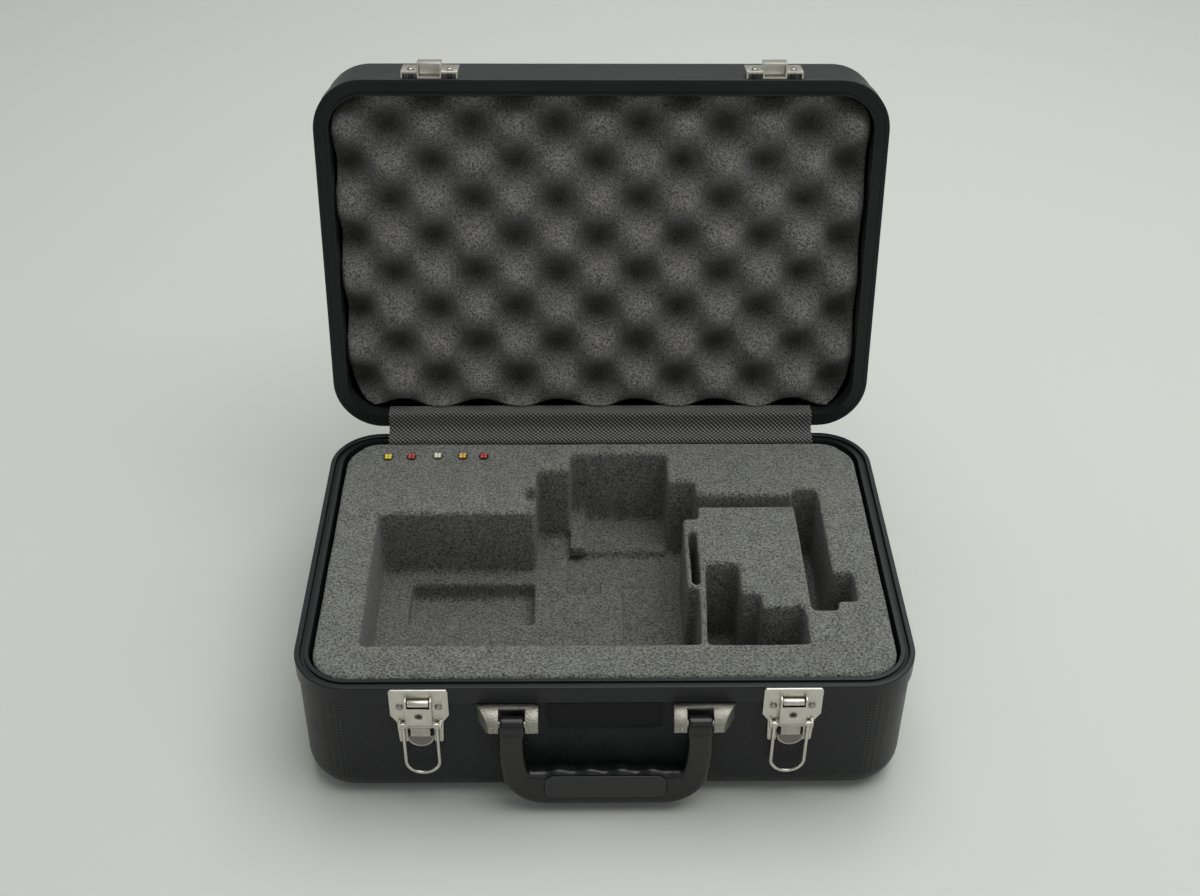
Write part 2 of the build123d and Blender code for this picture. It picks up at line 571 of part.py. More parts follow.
with BuildPart() as hinge_leaf_base:
    block(FRONT, leaf_span, (HINGE_Z - LEAF_HEIGHT, HINGE_Z - 2.6), *leaf_back)
    for span in base_knuckles:
        block(FRONT, span, (HINGE_Z - 3, HINGE_Z), *leaf_back)
        rods(Plane.YZ, [(HINGE_Y, HINGE_Z)], BARREL_RADIUS, *span)
    rods(Plane.YZ, [(HINGE_Y, HINGE_Z)], HINGE_PIN_RADIUS + RUNNING_GAP, -150, 150, Mode.SUBTRACT)
    rods(FRONT, base_leaf_holes, RIVET_SHANK, -145, -130, Mode.SUBTRACT)
save(hinge_leaf_base, "hinge_leaf_base")

with BuildPart() as hinge_leaf_lid:
    block(LID_FRONT, leaf_span, (HINGE_Z + 2.6, HINGE_Z + LEAF_HEIGHT), *leaf_back)
    for span in lid_knuckles:
        block(LID_FRONT, span, (HINGE_Z, HINGE_Z + 3), *leaf_back)
        rods(LID_SIDE, [(HINGE_Y, HINGE_Z)], BARREL_RADIUS, *span)
    rods(LID_SIDE, [(HINGE_Y, HINGE_Z)], HINGE_PIN_RADIUS + RUNNING_GAP, -150, 150, Mode.SUBTRACT)
    rods(LID_FRONT, lid_leaf_holes, RIVET_SHANK, -145, -130, Mode.SUBTRACT)
save(hinge_leaf_lid, "hinge_leaf_lid")

with BuildPart() as hinge_pin:
    rods(Plane.YZ, [(HINGE_Y, HINGE_Z)], HINGE_PIN_RADIUS, *leaf_span)
save(hinge_pin, "hinge_pin")


stop_profile = [
    (139.05, 85), (141.3, 85), (141.3, 98), (153, 104), (153, 110.4), (147, 111.45), (145.6, 107), (141.3, 103),
    (139.05, 103),
]
for name, side in SIDES:
    with BuildPart() as hinge_stop:
        stop_span = (side * STOP_X - STOP_WIDTH / 2, side * STOP_X + STOP_WIDTH / 2)
        prism(Plane.YZ, stop_profile, *stop_span)
        rods(FRONT, stop_holes, RIVET_SHANK, -145, -130, Mode.SUBTRACT)
    save(hinge_stop, "hinge_stop_" + name)

with BuildPart() as base_hinge_rivets:
    rivets(BACK, base_leaf_holes, REAR_Y + 0.05 + LEAF, inner_face - 1)
    rivets(BACK, stop_holes, 141.3, inner_face - 1)
save(base_hinge_rivets, "base_hinge_rivets")

with BuildPart() as lid_hinge_rivets:
    rivets(LID_BACK, lid_leaf_holes, REAR_Y + 0.05 + LEAF, inner_face - 1)
save(lid_hinge_rivets, "lid_hinge_rivets")

# Lid shell, valance and pad
with BuildPart() as lid_shell:
    slab(LID, SKIRT, LID_RIM + WEB, LID_RIM + LID_DEPTH)
    fillet(lid_shell.faces().sort_by(LID_AXIS)[-1].edges(), LID_EDGE_RADIUS)
    offset(amount=-WALL, openings=lid_shell.faces().sort_by(LID_AXIS)[0])
    rods(LID_FRONT, keeper_holes, RIVET_SHANK, 130, 140, Mode.SUBTRACT)
    rods(LID_FRONT, lid_leaf_holes, RIVET_SHANK, -140, -130, Mode.SUBTRACT)
save(lid_shell, "lid_shell")

with BuildPart() as lid_valance:
    ring(LID, 0, LID_TONGUE_INNER, LID_RIM, LID_RIM + WEB)
    fillet(lid_valance.faces().sort_by(LID_AXIS)[0].edges(), 0.8)
    ring(LID, LID_BAND, LID_TONGUE_OUTER, LID_RIM, LID_RIM + LID_BAND_STEP, Mode.SUBTRACT)
    ring(LID, LID_TONGUE_OUTER, LID_TONGUE_INNER, LID_RIM - LID_TONGUE_DROP, LID_RIM + 1)
    ring(LID, 0, SKIRT, LID_RIM + WEB, LID_RIM + SKIRT_HEIGHT + 2)
    ring(LID, LID_TONGUE_INNER - FLANGE, LID_TONGUE_INNER, LID_RIM + WEB, LID_RIM + FLANGE_DROP)
    rods(LID_FRONT, keeper_holes, RIVET_SHANK, 130, 140, Mode.SUBTRACT)
    rods(LID_FRONT, lid_leaf_holes, RIVET_SHANK, -140, -130, Mode.SUBTRACT)
save(lid_valance, "lid_valance")

with BuildPart() as lid_foam:
    slab(LID, LID_FOAM_INSET, LID_RIM + LID_FOAM_DROP, LID_RIM + LID_DEPTH - WALL - 0.4)
    fillet(lid_foam.faces().sort_by(LID_AXIS)[-1].edges(), 12)
save(lid_foam, "lid_foam")

# Keepers on the lid's front: a raised plate with a hook box that the claw enters from below
for name, side in SIDES:
    centre = side * LATCH_X
    with BuildPart() as keeper:
        rise = (LID_RIM + 1.2, LID_RIM + 22)
        block(LID_FRONT, (centre - 20.5, centre + 20.5), rise, 143, 144.3)
        for tab_x in (-19.85, 19.85):
            tab_span = (centre + tab_x - 0.65, centre + tab_x + 0.65)
            block(LID_FRONT, tab_span, (LID_RIM + 1.2, LID_RIM + 15), -FRONT_Y + 0.1, 143)
        block(LID_FRONT, (centre - 8.7, centre + 8.7), (LID_RIM + 1.2, LID_RIM + 12), -FRONT_Y + 0.1, 150.5)
        block(LID_FRONT, (centre - 7.5, centre + 7.5), (LID_RIM, LID_RIM + 9.6), 140.6, 149, Mode.SUBTRACT)
        side_rivets = [hole for hole in keeper_holes if hole[0] * side > 0]
        rods(LID_FRONT, side_rivets, RIVET_SHANK, 138, 150, Mode.SUBTRACT)
    save(keeper, "keeper_" + name)

with BuildPart() as keeper_rivets:
    rivets(LID_FRONT, keeper_holes, 144.3, inner_face - 1)
save(keeper_rivets, "keeper_rivets")


# Hinge cover: fabric strip from the lid pad's lower edge, over both rims, to the foam insert's back edge
def opened(y, z):
    """A point of the closed lid, as Y and Z, carried to the open lid."""
    out = y - HINGE_Y
    up = z - HINGE_Z
    return (HINGE_Y + out * cos(TURN) + up * sin(TURN), HINGE_Z - out * sin(TURN) + up * cos(TURN))


STRIP_WIDTH = 336.0
STRIP_THICKNESS = 0.9
with BuildPart() as hinge_cover_strip:
    with BuildSketch(Plane.YZ.offset(-STRIP_WIDTH / 2)) as strip:
        with BuildLine():
            Polyline(
                opened(REAR_Y - 14.4, LID_RIM - 2.3),
                opened(REAR_Y - 9.0, LID_RIM - 2.3),
                opened(REAR_Y - 0.5, LID_RIM - 1.6),
                (REAR_Y - 0.8, BASE_HEIGHT + 1.5),
                (REAR_Y - 3.0, BASE_HEIGHT + 0.8),
                (REAR_Y - 10.2, BASE_HEIGHT + 0.8),
                (REAR_Y - 10.7, BASE_HEIGHT - 3),
            )
        trace(line_width=STRIP_THICKNESS)
    extrude(strip.sketch, amount=STRIP_WIDTH)
save(hinge_cover_strip, "hinge_cover_strip")
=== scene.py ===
"""Visual model of a hard-shell instrument case.

It has a fitted foam insert, an egg-crate lid pad, two draw latches and a swing handle.
Metres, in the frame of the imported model: +Z up, +X to the right, +Y to the back.
"""

import json
from math import cos, pi, radians, sin

import bmesh
import bpy
from bpy.props import FloatProperty, FloatVectorProperty, IntProperty, PointerProperty
from mathutils import Matrix, Vector, noise

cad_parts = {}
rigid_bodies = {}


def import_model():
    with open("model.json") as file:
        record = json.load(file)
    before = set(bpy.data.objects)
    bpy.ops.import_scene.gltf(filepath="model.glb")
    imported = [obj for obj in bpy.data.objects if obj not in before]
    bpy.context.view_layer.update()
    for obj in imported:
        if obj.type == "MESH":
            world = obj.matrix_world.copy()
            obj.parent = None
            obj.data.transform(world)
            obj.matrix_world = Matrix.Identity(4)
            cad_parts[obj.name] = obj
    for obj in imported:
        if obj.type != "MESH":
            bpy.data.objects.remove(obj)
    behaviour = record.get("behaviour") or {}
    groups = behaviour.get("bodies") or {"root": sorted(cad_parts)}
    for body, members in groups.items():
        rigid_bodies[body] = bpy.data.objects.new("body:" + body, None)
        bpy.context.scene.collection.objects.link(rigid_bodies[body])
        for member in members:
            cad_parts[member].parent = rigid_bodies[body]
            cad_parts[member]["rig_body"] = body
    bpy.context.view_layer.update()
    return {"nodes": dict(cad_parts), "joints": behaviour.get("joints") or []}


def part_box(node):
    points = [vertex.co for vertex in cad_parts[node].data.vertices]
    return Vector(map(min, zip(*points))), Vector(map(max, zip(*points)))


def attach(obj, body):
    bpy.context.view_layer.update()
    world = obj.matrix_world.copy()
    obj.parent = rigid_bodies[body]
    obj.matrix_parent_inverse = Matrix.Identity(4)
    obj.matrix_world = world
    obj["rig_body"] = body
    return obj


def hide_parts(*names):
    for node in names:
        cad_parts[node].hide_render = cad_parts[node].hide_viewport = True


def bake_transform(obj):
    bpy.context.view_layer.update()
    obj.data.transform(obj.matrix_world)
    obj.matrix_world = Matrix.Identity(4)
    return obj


bl_info = {
    "name": "Instrument Case",
    "version": (1, 0, 0),
    "blender": (4, 5, 0),
    "location": "View3D > Sidebar > Case",
    "description": "Foam, handle, fittings, finishes and stage for a hard-shell instrument case",
    "category": "Object",
}

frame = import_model()
NODES = frame["nodes"]
LID_HINGE = next(joint for joint in frame["joints"] if joint["name"] == "lid_hinge")
HINGE = Vector(LID_HINGE["pos_m"])
OPEN_TURN = radians(LID_HINGE["range_deg"][1])
CLOSED_TO_OPEN = Matrix.Translation(HINGE) @ Matrix.Rotation(-OPEN_TURN, 4, "X") @ Matrix.Translation(-HINGE)
OPEN_TO_CLOSED = CLOSED_TO_OPEN.inverted()
SIDES = ("left", "right")
FOAM_SHEETS = ("foam_top_sheet", "foam_body_sheet", "foam_shelf_sheet", "foam_step_sheet", "foam_floor_pad")


# ---------------------------------------------------------------- settings


def length(name, description, default, **limits):
    return FloatProperty(
        name=name, description=description, default=default, unit="LENGTH", precision=4, **limits
    )


def colour(name, description, default):
    return FloatVectorProperty(
        name=name, description=description, default=default, subtype="COLOR", size=3, min=0.0, max=1.0
    )


def lamp(name, description, default):
    return FloatProperty(name=name, description=description, default=default, unit="POWER")


class FoamSettings(bpy.types.PropertyGroup):
    """Sizes of the two foam pieces and the fabric strip."""

    insert_grid: length("Insert grid", "Spacing of the insert's surface points", 0.0017, min=0.001)
    insert_softness: IntProperty(
        name="Insert softness", description="How far the cut edges are rounded", default=2, min=0
    )
    # Depth at which the painted shade in a well reaches its darkest.
    well_shade_depth: length("Well depth", "Depth at which a well is at its darkest", 0.06)
    pad_grid: length("Pad grid", "Spacing of the lid pad's surface points", 0.0026, min=0.001)
    crate_pitch_x: length("Egg-crate pitch across", "Distance between hollows across the lid", 0.0617)
    crate_pitch_y: length("Egg-crate pitch along", "Distance between hollows from hinge to front", 0.0585)
    crate_shift_x: length("Egg-crate shift across", "Where a hollow lies, from the centre line", -0.033)
    crate_shift_y: length("Egg-crate shift along", "Where a hollow lies, from the lid's rear edge", 0.239)
    crate_sharpness: FloatProperty(
        name="Egg-crate sharpness",
        description="Above 1, the hollows are narrower than the crowns",
        default=1.35,
        min=0.5,
    )
    pad_overfill: length("Pad overfill", "How far the pad presses out against the lid's wall", 0.0022)
    crate_depth: length("Egg-crate depth", "Depth of the hollows below the crowns", 0.03)
    strip_thickness: length("Strip thickness", "Thickness of the fabric over the hinge", 0.0009)
    strip_ripple: length("Strip ripple", "How far the fabric wanders from flat", 0.0005)


class HandleSettings(bpy.types.PropertyGroup):
    """Sizes of the moulded handle."""

    grid: length("Grid", "Spacing of the handle's surface points", 0.0011, min=0.0005)
    finger_pitch: length("Finger pitch", "Distance between finger waves", 0.0215)
    finger_depth: length("Finger depth", "Rise of a finger wave above the grip", 0.0011)
    crown_slope: length("Crown slope", "How far the grip's top falls away to the front", 0.0034)
    leg_bow: length("Leg bow", "How far each leg bows outwards at its middle", 0.0013)


class FittingSettings(bpy.types.PropertyGroup):
    """Eased edges on the pressed and cast fittings."""

    pressed_edge: length("Pressed edge", "Radius along the edges of sheet parts", 0.00035)
    cast_edge: length("Cast edge", "Radius along the edges of cast parts", 0.0008)


class FinishSettings(bpy.types.PropertyGroup):
    """Colours of the finishes."""

    shell: colour("Shell", "Moulded shell", (0.0085, 0.0098, 0.0104))
    valance: colour("Valance", "Anodised rim sections", (0.0085, 0.0098, 0.0108))
    gasket: colour("Gasket", "Rubber seal", (0.008, 0.008, 0.009))
    insert_foam: colour("Insert foam", "Foam in the base", (0.13, 0.133, 0.118))
    pad_foam: colour("Pad foam", "Egg-crate foam in the lid", (0.16, 0.157, 0.145))
    fabric: colour("Fabric", "Strip over the hinge", (0.062, 0.061, 0.058))
    handle: colour("Handle", "Moulded handle", (0.0085, 0.009, 0.0095))
    label: colour("Name plate", "Blank name plate", (0.0055, 0.0062, 0.0066))
    nickel: colour("Nickel", "Satin nickel fittings", (0.62, 0.6, 0.54))
    cast_nickel: colour("Cast nickel", "Handle brackets", (0.33, 0.318, 0.278))
    steel: colour("Steel", "Hinge and fasteners", (0.5, 0.5, 0.49))


class StageSettings(bpy.types.PropertyGroup):
    """Floor, lights and camera."""

    floor: colour("Floor", "Plain floor", (0.6, 0.61, 0.575))
    camera_place: FloatVectorProperty(
        name="Camera place",
        description="Where the camera stands",
        default=(-0.0188, -0.8636, 0.8668),
        unit="LENGTH",
    )
    camera_pitch: FloatProperty(
        name="Camera pitch", description="Angle below the horizon", default=radians(37.63), unit="ROTATION"
    )
    camera_yaw: FloatProperty(
        name="Camera yaw",
        description="Angle to the right of straight back",
        default=radians(1.053),
        unit="ROTATION",
    )
    camera_roll: FloatProperty(
        name="Camera roll",
        description="Turn about the view's own axis",
        default=radians(0.496),
        unit="ROTATION",
    )
    lens: FloatProperty(
        name="Lens", description="Focal length on a 36 mm sensor", default=47.29, unit="CAMERA"
    )
    key_power: lamp("Key light", "Large soft light overhead", 48.0)
    fill_power: lamp("Fill light", "Soft light from the front", 3.0)
    back_power: lamp("Back light", "Soft light from behind", 7.0)
    sky: FloatProperty(
        name="Room light", description="Strength of the light all round", default=0.31, min=0.0
    )


# ---------------------------------------------------------------- shared mesh work


def merged_copy(node, bm=None):
    """A CAD piece's mesh in a bmesh, with its loose triangles joined up."""
    bm = bm or bmesh.new()
    bm.from_mesh(NODES[node].data)
    bmesh.ops.remove_doubles(bm, verts=bm.verts, dist=1e-6)
    return bm


def add_piece(bm, name, body, smooth=True):
    """Turns a bmesh into a piece that rides on a body."""
    mesh = bpy.data.meshes.new(name)
    bm.to_mesh(mesh)
    bm.free()
    for face in mesh.polygons:
        face.use_smooth = smooth
    piece = bpy.data.objects.new(name, mesh)
    bpy.context.scene.collection.objects.link(piece)
    if body:
        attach(piece, body)
    return piece


def soften(bm, passes):
    """Rounds every edge a little, as many times as asked."""
    for _ in range(passes):
        bmesh.ops.smooth_vert(
            bm, verts=bm.verts, factor=0.5, use_axis_x=True, use_axis_y=True, use_axis_z=True
        )


def remeshed(bm, grid, softness):
    """An even skin over overlapping solids, with its edges softened."""
    mesh = bpy.data.meshes.new("blank")
    bm.to_mesh(mesh)
    bm.free()
    blank = bpy.data.objects.new("blank", mesh)
    bpy.context.scene.collection.objects.link(blank)
    skin = blank.modifiers.new("Skin", "REMESH")
    skin.mode = "VOXEL"
    skin.voxel_size = grid
    bpy.context.view_layer.update()
    shaped = blank.evaluated_get(bpy.context.evaluated_depsgraph_get())
    result = bmesh.new()
    result.from_mesh(shaped.data)
    bpy.data.objects.remove(blank)
    bpy.data.meshes.remove(mesh)
    if not result.faces:
        raise RuntimeError("the skin came out empty")
    soften(result, softness)
    return result


def eased_copy(node, radius, min_angle=25.0, shape=None):
    """A CAD fitting with a small round along each hard edge."""
    bm = merged_copy(node)
    bmesh.ops.dissolve_limit(bm, angle_limit=radians(1.0), verts=bm.verts, edges=bm.edges)
    if shape:
        shape(bm)
    hard = []
    for edge in bm.edges:
        if len(edge.link_faces) == 2 and edge.calc_face_angle(0.0) > radians(min_angle):
            hard.append(edge)
    bmesh.ops.bevel(
        bm,
        geom=hard,
        offset=radius,
        offset_type="OFFSET",
        affect="EDGES",
        segments=2,
        profile=0.5,
        material=-1,
        clamp_overlap=True,
    )
    bmesh.ops.triangulate(bm, faces=bm.faces)
    bmesh.ops.recalc_face_normals(bm, faces=bm.faces)
    return bm


def shade_by_angle(mesh, angle):
    """Smooth shading over the rounds, with the hard corners kept."""
    mesh.set_sharp_from_angle(angle=angle)


# ---------------------------------------------------------------- foam, fabric, handle, fittings


def build_insert(settings):
    """One soft block from the five bonded sheets."""
    overlap = 0.0012
    under_strip = 0.0016
    back_edge = 0.006
    wander, pucker = 0.0004, 0.00006
    whole = bmesh.new()
    for name in FOAM_SHEETS:
        sheet = merged_copy(name)
        floor = min(vert.co.z for vert in sheet.verts)
        if name != "foam_floor_pad":
            for vert in sheet.verts:
                if vert.co.z < floor + 1e-5:
                    vert.co.z -= overlap
        mesh = bpy.data.meshes.new("sheet")
        sheet.to_mesh(mesh)
        sheet.free()
        whole.from_mesh(mesh)
        bpy.data.meshes.remove(mesh)
    skin = remeshed(whole, settings.insert_grid, settings.insert_softness)
    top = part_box("foam_top_sheet")[1]
    # This mark paints shade: the foam's colour grows darker with depth below the top sheet.
    shade_mark = skin.verts.layers.float.new("Painted Shade")
    for vert in skin.verts:
        vert[shade_mark] = min(1.0, max(0.0, (top.z - vert.co.z) / settings.well_shade_depth))
        if vert.co.y > top.y - back_edge:
            vert.co.y += under_strip
        vert.co += noise.noise_vector(vert.co * 28.0) * wander + noise.noise_vector(vert.co * 160.0) * pucker
    insert = add_piece(skin, "foam_insert", "base")
    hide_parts(*FOAM_SHEETS)
    dress(insert, "insert_foam")


def build_pad(settings):
    """Egg-crate pad, worked in the closed lid's own directions and carried to the open lid."""
    skin = remeshed(merged_copy("lid_foam"), settings.pad_grid, 3)
    bmesh.ops.transform(skin, matrix=OPEN_TO_CLOSED, verts=skin.verts)
    low = min(vert.co.z for vert in skin.verts)
    high = max(vert.co.z for vert in skin.verts)
    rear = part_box("base_valance")[1].y
    half_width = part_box("lid_foam")[1].x
    # This mark paints shade into the egg-crate hollows, darkest at the bottom of each.
    shade_mark = skin.verts.layers.float.new("Painted Shade")
    for vert in skin.verts:
        along = rear - vert.co.y
        across_wave = cos(2 * pi * (vert.co.x - settings.crate_shift_x) / settings.crate_pitch_x)
        along_wave = cos(2 * pi * (along - settings.crate_shift_y) / settings.crate_pitch_y)
        hollow = ((1 + across_wave * along_wave) / 2) ** settings.crate_sharpness
        nearness = (high - vert.co.z) / (high - low)
        vert.co.x *= 1 + settings.pad_overfill / half_width
        vert.co.y *= 1 + settings.pad_overfill / half_width
        vert.co.z += settings.crate_depth * hollow * nearness
        vert[shade_mark] = hollow
        vert.co += noise.noise_vector(vert.co * 40.0) * 0.0008
    soften(skin, 2)
    bmesh.ops.transform(skin, matrix=CLOSED_TO_OPEN, verts=skin.verts)
    pad = add_piece(skin, "egg_crate_pad", "lid")
    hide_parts("lid_foam")
    dress(pad, "pad_foam")


def rounded_path(corners, steps):
    """Points along straight runs whose corners are eased by repeated cutting."""
    points = [Vector(corner) for corner in corners]
    for _ in range(steps):
        cut = [points[0]]
        for near, far in zip(points, points[1:]):
            cut += [near.lerp(far, 0.25), near.lerp(far, 0.75)]
        cut.append(points[-1])
        points = cut
    return points


def build_strip(settings):
    """Fabric strip from under the insert's back edge, over both rims, to the lid pad's lower edge."""
    low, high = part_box("hinge_cover_strip")
    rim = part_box("base_valance")[1]
    tuck = ((0.001, 0.0012), (0.0085, 0.0021), (0.0116, 0.002), (0.0121, -0.003), (0.0122, -0.012))
    lid_side = [CLOSED_TO_OPEN @ Vector((0, rim.y - inset, rim.z - proud)) for inset, proud in tuck]
    flap = ((0.0108, -0.0026), (0.0102, 0.0009), (0.0028, 0.0011), (-0.0002, 0.0018))
    base_side = [Vector((0, rim.y - inset, rim.z + proud)) for inset, proud in flap]
    path = rounded_path([*base_side, *lid_side], 2)
    run = [0.0]
    for near, far in zip(path, path[1:]):
        run.append(run[-1] + (far - near).length)
    bm = bmesh.new()
    uv = bm.loops.layers.uv.new("Cloth")
    half = (high.x - low.x) / 2 - 0.0002
    columns = 112
    first = [bm.verts.new((-half, point.y, point.z)) for point in path]
    edges = [bm.edges.new(pair) for pair in zip(first, first[1:])]
    for _ in range(columns):
        grown = bmesh.ops.extrude_edge_only(bm, edges=edges)["geom"]
        moved = [item for item in grown if isinstance(item, bmesh.types.BMVert)]
        edges = [item for item in grown if isinstance(item, bmesh.types.BMEdge)]
        bmesh.ops.translate(bm, verts=moved, vec=(2 * half / columns, 0, 0))
    bm.verts.ensure_lookup_table()
    for face in bm.faces:
        for loop in face.loops:
            nearest = min(range(len(path)), key=lambda step: (path[step].yz - loop.vert.co.yz).length)
            loop[uv].uv = (loop.vert.co.x, run[nearest])
    for vert in bm.verts:
        fade = min(1.0, (half - abs(vert.co.x)) / 0.02 + 0.35)
        ripple = 0.5 + noise.noise(Vector((vert.co.x * 30.0, vert.co.y * 90.0, 3.0)))
        vert.co.z += settings.strip_ripple * fade * ripple
    bmesh.ops.recalc_face_normals(bm, faces=bm.faces)
    if sum(face.normal.z for face in bm.faces) < 0:
        bmesh.ops.reverse_faces(bm, faces=bm.faces)
    strip = add_piece(bm, "hinge_fabric_strip", None)
    wall = strip.modifiers.new("Cloth", "SOLIDIFY")
    wall.thickness = settings.strip_thickness
    wall.offset = -1.0
    shaped = strip.evaluated_get(bpy.context.evaluated_depsgraph_get())
    cloth = bpy.data.meshes.new_from_object(shaped)
    strip.modifiers.clear()
    strip.data = cloth
    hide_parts("hinge_cover_strip")
    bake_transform(strip)
    dress(strip, "fabric")


def build_handle(settings):
    """Moulded loop with finger waves along the top of the grip and legs that bow."""
    loop = remeshed(merged_copy("handle_loop"), settings.grid, 2)
    pad_low, pad_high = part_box("handle_grip_pad")
    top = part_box("handle_loop")[1].z
    grip_mid = (pad_low.z + pad_high.z) / 2
    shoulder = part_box("handle_bracket_left")[0].z
    front, back = (corner.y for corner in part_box("handle_loop"))
    middle = (front + back) / 2
    grip_half, crown_height, neck, leg_inside = 0.05, 0.012, 0.02, 0.045
    for vert in loop.verts:
        within = max(0.0, 1 - (abs(vert.co.x) / grip_half) ** 4)
        rise = min(1.0, max(0.0, (vert.co.z - grip_mid) / crown_height))
        wave = cos(2 * pi * vert.co.x / settings.finger_pitch + pi)
        if vert.co.z < shoulder - neck:
            frontness = min(1.0, max(0.0, (middle - vert.co.y) / (middle - front)))
            fall = settings.crown_slope * frontness * frontness
            vert.co.z += (settings.finger_depth * wave - fall) * within * rise
        if abs(vert.co.x) > leg_inside and pad_high.z < vert.co.z < shoulder:
            share = (vert.co.z - pad_high.z) / (shoulder - pad_high.z)
            vert.co.x += (settings.leg_bow if vert.co.x > 0 else -settings.leg_bow) * sin(pi * share)
    if top < shoulder:
        raise RuntimeError("the handle lies below its brackets")
    handle = add_piece(loop, "moulded_handle", "handle")
    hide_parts("handle_loop")
    dress(handle, "handle")
    insert = add_piece(eased_copy("handle_grip_pad", 0.0003), "grip_insert", "handle")
    shade_by_angle(insert.data, radians(35))
    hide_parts("handle_grip_pad")
    dress(insert, "grip")


def press_thumb_hollow(bm):
    """A half-moon pressed into the round end of a lever."""
    round_height = 0.0095
    chord = min(vert.co.z for vert in bm.verts) + round_height
    bmesh.ops.bisect_plane(
        bm, geom=[*bm.verts, *bm.edges, *bm.faces], plane_co=(0, 0, chord), plane_no=(0, 0, 1), dist=1e-6
    )
    front = [face for face in bm.faces if face.normal.y < -0.9 and face.calc_center_median().z < chord]
    thumb = max(front, key=lambda face: face.calc_area())
    bmesh.ops.inset_individual(bm, faces=[thumb], thickness=0.0011, depth=-0.0007)
    # This mark paints shade into the pressed half-moon.
    shade_mark = bm.verts.layers.float.new("Painted Shade")
    for vert in thumb.verts:
        vert[shade_mark] = 1.0


def build_set_screws(radius=0.0016, rise=0.0042):
    """Domed screw heads low on the arms of each bracket."""
    bm = bmesh.new()
    for side in SIDES:
        low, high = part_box("handle_bracket_" + side)
        pin_low, pin_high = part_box("handle_pin_" + side)
        insets = (0.0012, 0.0018) if side == "right" else (0.0018, 0.0012)
        for across in (pin_low.x + insets[0], pin_high.x - insets[1]):
            head = bmesh.ops.create_uvsphere(bm, u_segments=16, v_segments=8, radius=radius)["verts"]
            bmesh.ops.scale(bm, verts=head, vec=(1.0, 0.5, 1.0))
            bmesh.ops.translate(bm, verts=head, vec=(across, low.y, low.z + rise))
    screws = add_piece(bm, "bracket_set_screws", "base")
    dress(screws, "rivet")


PRESSED = ("latch_plate", "latch_cover", "latch_lever", "keeper", "latch_claw")
CAST = ("handle_bracket",)


def build_fittings(settings):
    """Eased copies of the sheet and cast fittings."""
    for kinds, radius, slot, finish in (
        (PRESSED, settings.pressed_edge, "latch_nickel", "nickel"),
        (CAST, settings.cast_edge, "cast_nickel", "cast_nickel"),
    ):
        for kind in kinds:
            for side in SIDES:
                node = kind + "_" + side
                shape = press_thumb_hollow if kind == "latch_lever" else None
                copy = eased_copy(node, radius, shape=shape)
                piece = add_piece(copy, node + "_eased", NODES[node]["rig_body"])
                shade_by_angle(piece.data, radians(40))
                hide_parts(node)
                dress(piece, "lever_nickel" if shape else finish)
    copy = eased_copy("name_plate", settings.pressed_edge)
    plate = add_piece(copy, "name_plate_eased", "base")
    shade_by_angle(plate.data, radians(40))
    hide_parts("name_plate")
    dress(plate, "label")
    build_set_screws()


# ---------------------------------------------------------------- shared effects


def add_node(tree, kind, **settings):
    node = tree.nodes.new(kind)
    for name, value in settings.items():
        setattr(node, name, value)
    return node


def feed(tree, value, socket):
    """Sets a socket to a value, or wires another socket to it."""
    if isinstance(value, bpy.types.NodeSocket):
        tree.links.new(value, socket)
    else:
        socket.default_value = value


def reckon(tree, operation, *values, clamp=False):
    node = add_node(tree, "ShaderNodeMath", operation=operation, use_clamp=clamp)
    for socket, value in zip(node.inputs, values):
        feed(tree, value, socket)
    return node.outputs[0]


def plus(tree, first, second):
    return reckon(tree, "ADD", first, second)


def times(tree, first, second):
    return reckon(tree, "MULTIPLY", first, second)


def spread(tree, value, low, high, new_low=0.0, new_high=1.0):
    """A value moved from one range to another, and held inside it."""
    node = add_node(tree, "ShaderNodeMapRange")
    for socket, item in zip(node.inputs, (value, low, high, new_low, new_high)):
        feed(tree, item, socket)
    return node.outputs[0]


def noise_field(tree, vector, scale, detail=2.0, roughness=0.5):
    node = add_node(tree, "ShaderNodeTexNoise")
    feed(tree, vector, node.inputs["Vector"])
    feed(tree, scale, node.inputs["Scale"])
    node.inputs["Detail"].default_value = detail
    node.inputs["Roughness"].default_value = roughness
    return node.outputs["Fac"]


def new_effect(name, inputs, outputs):
    """An empty effect group, with its ends."""
    tree = bpy.data.node_groups.new(name, "ShaderNodeTree")
    for label, kind, default in inputs:
        socket = tree.interface.new_socket(name=label, in_out="INPUT", socket_type=kind)
        if default is not None:
            socket.default_value = default
    for label, kind in outputs:
        tree.interface.new_socket(name=label, in_out="OUTPUT", socket_type=kind)
    return tree, add_node(tree, "NodeGroupInput"), add_node(tree, "NodeGroupOutput")


def make_foam_cells():
    """Open cells: dark pores between pale struts, with larger mottling."""
    tree, start, end = new_effect(
        "Foam Cells",
        [
            ("Vector", "NodeSocketVector", None),
            ("Scale", "NodeSocketFloat", 850.0),
            ("Mottle", "NodeSocketFloat", 90.0),
        ],
        [("Shade", "NodeSocketFloat"), ("Height", "NodeSocketFloat")],
    )
    fine = noise_field(tree, start.outputs["Vector"], start.outputs["Scale"], 3.0, 0.65)
    broad = noise_field(tree, start.outputs["Vector"], start.outputs["Mottle"], 3.0, 0.6)
    cells = add_node(tree, "ShaderNodeTexVoronoi")
    feed(tree, start.outputs["Vector"], cells.inputs["Vector"])
    feed(tree, start.outputs["Scale"], cells.inputs["Scale"])
    pores = spread(tree, cells.outputs["Distance"], 0.1, 0.75)
    grain = plus(tree, spread(tree, fine, 0.34, 0.66), times(tree, pores, 0.6))
    feed(tree, grain, end.inputs["Height"])
    struts = spread(tree, grain, 0.35, 1.3)
    mottle = times(tree, spread(tree, broad, 0.3, 0.7), 0.2)
    feed(tree, plus(tree, times(tree, struts, 0.8), mottle), end.inputs["Shade"])
    return tree


